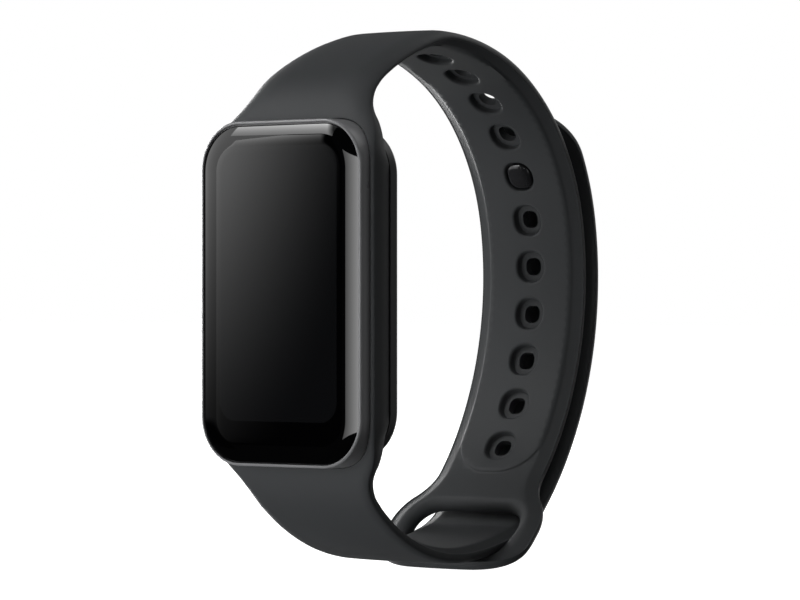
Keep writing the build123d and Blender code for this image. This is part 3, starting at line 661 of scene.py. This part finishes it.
def build_glass():
    insets = np.concatenate([[0, 0.015, 0.04, 0.08], np.linspace(0.14, GLASS_CURVE, 24), [3.4, 4.6, 5.4]])
    rings, depths = [], []
    for inset in insets:
        rings.append(box_loop(GLASS_X - inset, GLASS_Z - inset, max(GLASS_R - inset, 0.2), 99, 24))
        curve = GLASS_DROP * np.clip(1 - inset / GLASS_CURVE, 0, 1) ** 2
        depths.append(curve + ellipse_drop(inset, 0.08, 0.08))

    def place(x, z, depth):
        return np.column_stack([x, FACE_Y + depth, z + GLASS_MIDDLE]) * MM
    return ringed("glass_front", rings, depths, place, GLASS_T)


def build_stud():
    half, corner, top, floor = 1.85, 1.5, 1.05, ARM_T - 0.7
    rings, depths = [], []
    for inset, rise in [(0.12, 0.0), (0.03, 0.06), (0, 0.16), (0, 0.36)]:
        rings.append(box_loop(half - inset, half - inset, corner - inset, 99, 12))
        depths.append(floor + rise)
    for turn in np.linspace(0.12, 1, 14)[:-1] * pi / 2:
        k = cos(turn) * 0.98 + 0.02
        rings.append(box_loop(half * k, half * k, corner * k, 99, 12))
        depths.append(floor + 0.36 + (top - 0.36) * sin(turn))

    def place(x, v, depth):
        return ARM.place(x, HOLES[STUD_HOLE] + v, depth)
    return ringed("stud_head", rings, depths, place, floor)


glass_piece = build_glass()
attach(glass_piece, "tracker")
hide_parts("cover_glass")
stud_piece = build_stud()
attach(stud_piece, "tail_end")
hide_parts("stud_button")


# ---------------------------------------------------------------- materials
ROUGHNESS_SPREAD, TINT_SPREAD = 0.08, 0.06
CLOUD_SCALE = 90                    # of the slow change of tint and roughness, per metre


def material(name, color, roughness, metallic=0.0, grain=0.0, grain_size=0.25, specular=0.5):
    """Surface with slight cloudy change of tint and roughness and a fine grain. Sizes in millimetres."""
    mat = bpy.data.materials.new(name)
    mat.use_nodes = True
    nodes, links = mat.node_tree.nodes, mat.node_tree.links
    shader = nodes["Principled BSDF"]
    shader.inputs["Metallic"].default_value = metallic
    shader.inputs["Specular IOR Level"].default_value = specular
    place = nodes.new("ShaderNodeTexCoord")
    cloud = nodes.new("ShaderNodeTexNoise")
    cloud.inputs["Scale"].default_value = CLOUD_SCALE
    cloud.inputs["Detail"].default_value = 4
    links.new(place.outputs["Object"], cloud.inputs["Vector"])
    rough = nodes.new("ShaderNodeMapRange")
    rough.inputs["To Min"].default_value = roughness * (1 - ROUGHNESS_SPREAD)
    rough.inputs["To Max"].default_value = min(roughness * (1 + ROUGHNESS_SPREAD), 1)
    links.new(cloud.outputs["Fac"], rough.inputs["Value"])
    links.new(rough.outputs["Result"], shader.inputs["Roughness"])
    tint = nodes.new("ShaderNodeMix")
    tint.data_type = "RGBA"
    tint.inputs[6].default_value = (*[c * (1 - TINT_SPREAD) for c in color], 1)
    tint.inputs[7].default_value = (*[c * (1 + TINT_SPREAD) for c in color], 1)
    links.new(cloud.outputs["Fac"], tint.inputs[0])
    links.new(tint.outputs[2], shader.inputs["Base Color"])
    if grain:
        fine = nodes.new("ShaderNodeTexNoise")
        fine.inputs["Scale"].default_value = 1 / (grain_size * MM)
        fine.inputs["Detail"].default_value = 2
        links.new(place.outputs["Object"], fine.inputs["Vector"])
        bump = nodes.new("ShaderNodeBump")
        bump.inputs["Strength"].default_value = grain
        bump.inputs["Distance"].default_value = 0.01 * MM
        links.new(fine.outputs["Fac"], bump.inputs["Height"])
        links.new(bump.outputs["Normal"], shader.inputs["Normal"])
    return mat


# half sizes, corner and middle height of the display behind the glass
DISPLAY_X, DISPLAY_Z, DISPLAY_R, DISPLAY_MIDDLE = 9.3, 17.0, 2.5, 1.2


def sum_up(nodes, links, kind, a, b=0.0):
    """Math node on sockets or plain numbers."""
    node = nodes.new("ShaderNodeMath")
    node.operation = kind
    for socket, value in zip(node.inputs, (a, b)):
        if isinstance(value, float):
            socket.default_value = value
        else:
            links.new(value, socket)
    return node.outputs[0]


def glass_material():
    """Black glass over the switched off display, a rounded rectangle a shade lighter than its border."""
    mat = material("cover glass", (0.0004, 0.0004, 0.0005), 0.03, grain=0.04, grain_size=2.0)
    nodes, links = mat.node_tree.nodes, mat.node_tree.links
    shader = nodes["Principled BSDF"]
    border = shader.inputs["Base Color"].links[0].from_socket
    place = nodes.new("ShaderNodeTexCoord")
    split = nodes.new("ShaderNodeSeparateXYZ")
    links.new(place.outputs["Object"], split.inputs[0])

    def step(kind, a, b=0.0):
        return sum_up(nodes, links, kind, a, b)

    def over(axis, middle, half):
        far = step("ABSOLUTE", step("SUBTRACT", split.outputs[axis], middle * MM))
        return step("MAXIMUM", step("SUBTRACT", far, (half - DISPLAY_R) * MM), 0.0)
    ox, oz = over("X", 0.0, DISPLAY_X), over("Z", DISPLAY_MIDDLE, DISPLAY_Z)
    reach = step("SQRT", step("ADD", step("MULTIPLY", ox, ox), step("MULTIPLY", oz, oz)))
    inside = step("LESS_THAN", reach, DISPLAY_R * MM)
    shade = nodes.new("ShaderNodeMix")
    shade.data_type = "RGBA"
    shade.inputs[7].default_value = (0.0024, 0.0025, 0.0028, 1)
    links.new(inside, shade.inputs[0])
    links.new(border, shade.inputs[6])
    links.new(shade.outputs[2], shader.inputs["Base Color"])
    return mat


MATERIALS = {
    "strap_elastomer": material("strap elastomer", (0.028, 0.0295, 0.031), 0.52, grain=0.25, specular=0.16),
    "stud_gloss": material("stud gloss", (0.012, 0.012, 0.013), 0.16, grain=0.05, grain_size=0.8),
    "cover_glass": glass_material(),
    "housing_shell": material("housing shell", (0.13, 0.131, 0.135), 0.28, grain=0.12, grain_size=0.12),
    "case_plastic": material("case plastic", (0.011, 0.011, 0.012), 0.36, grain=0.2, grain_size=0.15),
    "seal_rubber": material("seal rubber", (0.02, 0.02, 0.02), 0.7, grain=0.3),
    "foam": material("foam", (0.05, 0.05, 0.052), 0.9, grain=0.9, grain_size=0.2),
    "sensor_glass": material("sensor glass", (0.004, 0.004, 0.005), 0.06, grain=0.04, grain_size=1.0),
    "contact_metal": material("contact metal", (0.83, 0.66, 0.36), 0.22, metallic=1.0, grain=0.2,
                              grain_size=0.08),
    "display_black": material("display black", (0.006, 0.006, 0.008), 0.18, grain=0.05),
    "flex_film": material("flex film", (0.34, 0.13, 0.03), 0.4, grain=0.15),
    "bracket_metal": material("bracket metal", (0.55, 0.56, 0.58), 0.36, metallic=1.0, grain=0.35,
                              grain_size=0.1),
    "cell_pouch": material("cell pouch", (0.62, 0.63, 0.64), 0.33, metallic=0.85, grain=0.6, grain_size=0.6),
    "circuit_board": material("circuit board", (0.008, 0.07, 0.03), 0.45, grain=0.4, grain_size=0.3),
    "screw_steel": material("screw steel", (0.6, 0.6, 0.62), 0.28, metallic=1.0, grain=0.3, grain_size=0.06),
    "can_metal": material("can metal", (0.66, 0.66, 0.67), 0.3, metallic=1.0, grain=0.3, grain_size=0.12),
    "chip_black": material("chip black", (0.013, 0.013, 0.014), 0.55, grain=0.5, grain_size=0.12),
    "light_emitter": material("light emitter", (0.25, 0.5, 0.2), 0.25, grain=0.1),
}
for piece, slot in ((band, "strap_elastomer"), (lower_tail, "strap_elastomer"),
                    (upper_tail, "strap_elastomer"), (glass_piece, "cover_glass"),
                    (stud_piece, "stud_gloss")):
    piece.data.materials.clear()
    piece.data.materials.append(MATERIALS[slot])
for subpart in frame["record"]["subparts"]:
    node = frame["nodes"][subpart["node"]]
    node.data.materials.clear()
    node.data.materials.append(MATERIALS[subpart["material_slot"]])

# ---------------------------------------------------------------- camera
TURN = radians(37.5)                # round from straight in front of the glass
DISTANCE, ASIDE, HEIGHT = 475.0, 15.0906, -0.8
SENSOR_WIDTH, PICTURE_WIDTH = 36, 800
SCALE = 8.125                       # picture elements to a millimetre, at the camera's distance

camera = bpy.data.objects.new("camera", bpy.data.cameras.new("camera"))
bpy.context.scene.collection.objects.link(camera)
bpy.context.scene.camera = camera
camera_x = DISTANCE * sin(TURN) + ASIDE * cos(TURN)
camera_y = FACE_Y - DISTANCE * cos(TURN) + ASIDE * sin(TURN)
camera.location = Vector((camera_x, camera_y, HEIGHT)) * MM
camera.rotation_euler = (pi / 2, 0, TURN)
camera.data.sensor_width = SENSOR_WIDTH
camera.data.lens = SENSOR_WIDTH * SCALE * DISTANCE / PICTURE_WIDTH
camera.data.clip_start = 0.01

# ---------------------------------------------------------------- floor and light
WORLD_LOW, WORLD_HIGH = 0.015, 0.05  # surroundings that surfaces see, from the front to behind
FLOOR_Z, FLOOR_HALF = -35.95, 4000
NEAR, FAR = 300, 600                # distances of the cards and of the lights from the glass


def compass(turn, rise, distance):
    """Point seen from the glass at an angle from straight ahead (negative is left) and above the level."""
    turn, rise = radians(turn), radians(rise)
    flat = distance * cos(rise)
    return Vector((flat * sin(turn), FACE_Y - flat * cos(turn), distance * sin(rise))) * MM


def softbox(name, turn, rise, wide, tall, radiance):
    """Rectangular light at the far distance, facing the middle of the band."""
    light = bpy.data.lights.new(name, "AREA")
    light.shape = "RECTANGLE"
    light.size, light.size_y = wide * MM, tall * MM
    light.energy = radiance * pi * light.size * light.size_y
    lamp = bpy.data.objects.new(name, light)
    lamp.location = compass(turn, rise, FAR)
    lamp.rotation_euler = (-lamp.location).to_track_quat("-Z", "Y").to_euler()
    bpy.context.scene.collection.objects.link(lamp)
    return lamp


# broad lights for the matt surfaces, then lights that also show as reflections: turn, rise, width, height,
# radiance, and whether reflections show it
for name, turn, rise, wide, tall, radiance, shows in (
        ("above", 0, 78, 600, 600, 2.0, False),
        ("above_left", -60, 40, 500, 500, 0.8, False),
        ("left", -85, 0, 500, 500, 3.0, False),
        ("front", -10, 0, 400, 400, 5.2, False),
        ("below_left", -50, -40, 500, 500, 4.6, False),
        ("above_right", 60, 45, 500, 500, 0.2, False),
        ("behind_above", 180, 40, 500, 400, 0.8, True),
        ("right_front", 55, 0, 250, 500, 0.9, True),
        ("behind_right", 125, 0, 300, 600, 0.45, True),
        ("behind", 185, 0, 300, 500, 1.3, True),
        ("edge_line", -118, 0, 200, 500, 15.0, True)):
    lamp = softbox(name, turn, rise, wide, tall, radiance)
    lamp.visible_glossy = shows


def emissive(name, build):
    """Material that only gives light; build sets the strength from the object's own coordinates."""
    mat = bpy.data.materials.new(name)
    mat.use_nodes = True
    nodes, links = mat.node_tree.nodes, mat.node_tree.links
    nodes.clear()
    out = nodes.new("ShaderNodeOutputMaterial")
    glow = nodes.new("ShaderNodeEmission")
    links.new(glow.outputs[0], out.inputs[0])
    build(nodes, links, glow)
    return mat


def sheet(name, corners):
    """Flat four-cornered object for the floor and the cards."""
    mesh = bpy.data.meshes.new(name)
    mesh.from_pydata([tuple(c) for c in corners], [], [(0, 1, 2, 3)])
    card = bpy.data.objects.new(name, mesh)
    bpy.context.scene.collection.objects.link(card)
    return card


# cards that the glass mirrors towards the main camera: one for its flat, three for its curved border
MIRROR_TURN = -37.5                 # where the flat of the glass mirrors to, in degrees from straight ahead


def mirror_card(name, corners, strength):
    """Card seen only in reflections. Its brightness is the square of what strength makes of x and z, which
    run from 0 to 1 over the card along the world's X and Z."""
    card = sheet(name, corners)

    def graded(nodes, links, glow):
        place = nodes.new("ShaderNodeTexCoord")
        split = nodes.new("ShaderNodeSeparateXYZ")
        links.new(place.outputs["Generated"], split.inputs[0])

        def step(kind, a, b=0.0):
            return sum_up(nodes, links, kind, a, b)
        root = step("MAXIMUM", strength(step, split.outputs["X"], split.outputs["Z"]), 0.0)
        links.new(step("MULTIPLY", root, root), glow.inputs["Strength"])

    card.data.materials.append(emissive(name, graded))
    card.visible_camera = False
    card.visible_diffuse = False
    card.visible_shadow = False


def flat_strength(step, x, z):
    """Brightest at the upper left, black at the lower right."""
    up = step("MINIMUM", step("MULTIPLY", z, 1.77), 0.79)
    fall = step("MULTIPLY", step("SUBTRACT", 2.75, step("MULTIPLY", x, 3.8)), up)
    return step("SUBTRACT", fall, step("ADD", step("MULTIPLY", x, 0.69), 0.2))


def upper_strength(step, x, z):
    """Brighter upwards and to the left."""
    up = step("ADD", step("MULTIPLY", step("ADD", step("MULTIPLY", z, 2.0), 0.5), z), 1.2)
    across = step("SUBTRACT", 4.5, step("MULTIPLY", x, 6.0))
    return step("MULTIPLY", up, step("MAXIMUM", step("MINIMUM", across, 1.55), 0.3))


def left_strength(step, x, z):
    """Brighter upwards, to a limit."""
    return step("MINIMUM", step("SUBTRACT", step("MULTIPLY", z, 6.66), 1.05), 1.25)


def right_strength(step, x, z):
    """Brighter to the right."""
    return step("ADD", step("MULTIPLY", x, 1.5), 1.2)


def upright(distance, places):
    """Corners at a level distance from the glass, from pairs of turn and height."""
    return [compass(turn, 0, distance) + Vector((0, 0, z)) * MM for turn, z in places]


middle = compass(MIRROR_TURN, 0, NEAR) + Vector((9, 0, 0)) * MM
aside = Vector((cos(radians(MIRROR_TURN)), sin(radians(MIRROR_TURN)), 0)) * MM
mirror_card("flat_card", [middle + aside * x + Vector((0, 0, z)) * MM
                          for x, z in ((-35, -55), (35, -55), (35, 140), (-35, 140))], flat_strength)
low, high = compass(MIRROR_TURN, 27, NEAR), compass(MIRROR_TURN, 57, NEAR)
mirror_card("upper_card", [low - aside * 72, low + aside * 40, high + aside * 40, high - aside * 72],
            upper_strength)
mirror_card("left_card", upright(NEAR, ((-92, -100), (-43, -100), (-43, 260), (-92, 260))), left_strength)
mirror_card("right_card", upright(FAR, ((-20, -160), (17, -160), (17, 160), (-20, 160))), right_strength)

floor = sheet("floor", [Vector((x * FLOOR_HALF, y * FLOOR_HALF, FLOOR_Z)) * MM
                        for x, y in ((-1, -1), (1, -1), (1, 1), (-1, 1))])
floor_material = bpy.data.materials.new("floor")
floor_material.use_nodes = True
floor_shader = floor_material.node_tree.nodes["Principled BSDF"]
floor_shader.inputs["Base Color"].default_value = (0.5, 0.5, 0.5, 1)
floor_shader.inputs["Roughness"].default_value = 0.9
floor_shader.inputs["Specular IOR Level"].default_value = 0.0
floor_shader.inputs["Emission Color"].default_value = (1, 1, 1, 1)
floor_shader.inputs["Emission Strength"].default_value = 1.0
floor.data.materials.append(floor_material)
floor.visible_diffuse = False
floor.visible_glossy = False
floor.visible_shadow = False

# white to the camera, dim to everything else
scene = bpy.context.scene
scene.view_settings.view_transform = "Standard"
world = bpy.data.worlds.new("studio")
scene.world = world
world.use_nodes = True
nodes, links = world.node_tree.nodes, world.node_tree.links
backdrop = nodes["Background"]
backdrop.inputs["Color"].default_value = (1, 1, 1, 1)
studio = nodes.new("ShaderNodeBackground")
place = nodes.new("ShaderNodeTexCoord")
split = nodes.new("ShaderNodeSeparateXYZ")
links.new(place.outputs["Generated"], split.inputs[0])
fall = nodes.new("ShaderNodeMapRange")
fall.inputs["From Min"].default_value = -0.2
fall.inputs["From Max"].default_value = 1.0
fall.inputs["To Min"].default_value = WORLD_LOW
fall.inputs["To Max"].default_value = WORLD_HIGH
links.new(split.outputs["Y"], fall.inputs["Value"])
links.new(fall.outputs[0], studio.inputs["Strength"])
rays = nodes.new("ShaderNodeLightPath")
blend = nodes.new("ShaderNodeMixShader")
links.new(rays.outputs["Is Camera Ray"], blend.inputs[0])
links.new(studio.outputs[0], blend.inputs[1])
links.new(backdrop.outputs[0], blend.inputs[2])
links.new(blend.outputs[0], nodes["World Output"].inputs["Surface"])
